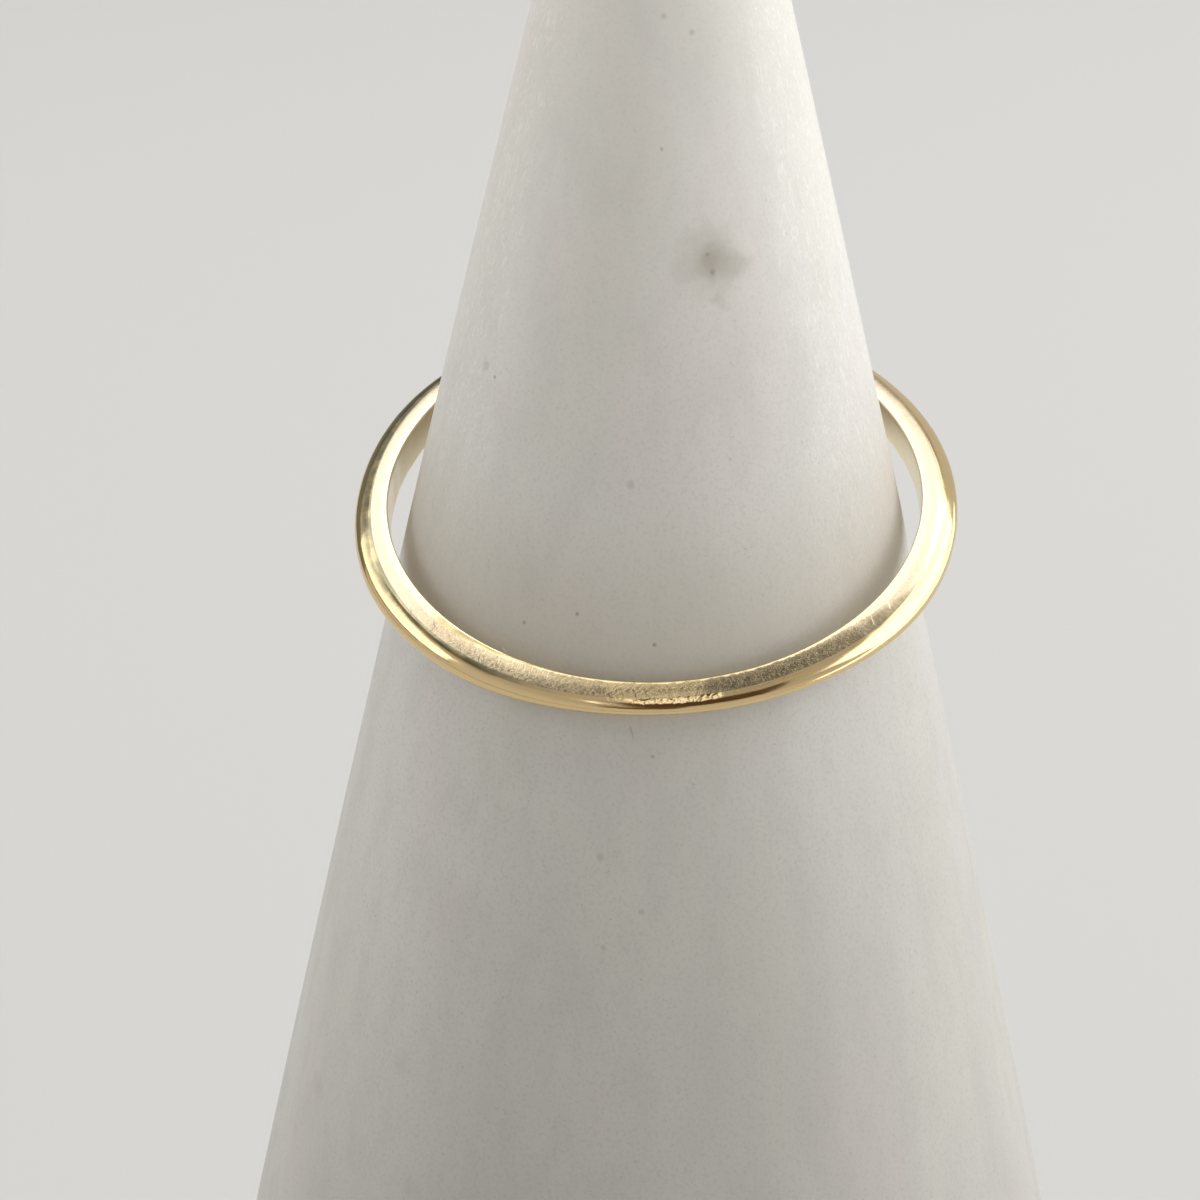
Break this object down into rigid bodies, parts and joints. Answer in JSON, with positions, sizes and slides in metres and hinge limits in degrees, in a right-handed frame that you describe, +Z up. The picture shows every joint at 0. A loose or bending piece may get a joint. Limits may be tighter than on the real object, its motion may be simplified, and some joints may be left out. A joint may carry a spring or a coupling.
{
  "type": "stackable ring on a ring cone",
  "caption": "Slim gold stacking ring with a flat side and a domed outer face, leaning on a plain turned marble ring cone.",
  "frame": {"origin": "centre of the cone's flat foot, on the surface that it stands on", "axes": "+Z up along the cone's axis; the ring slopes down towards -Y"},
  "size_m": [0.045, 0.045, 0.095],
  "materials": {
    "gold": "polished outside, satin side face with fine scratches",
    "marble": "honed, matt"
  },
  "bodies": {
    "root": {"ring_band": "gold", "marble_cone": "marble"}
  },
  "joints": []
}
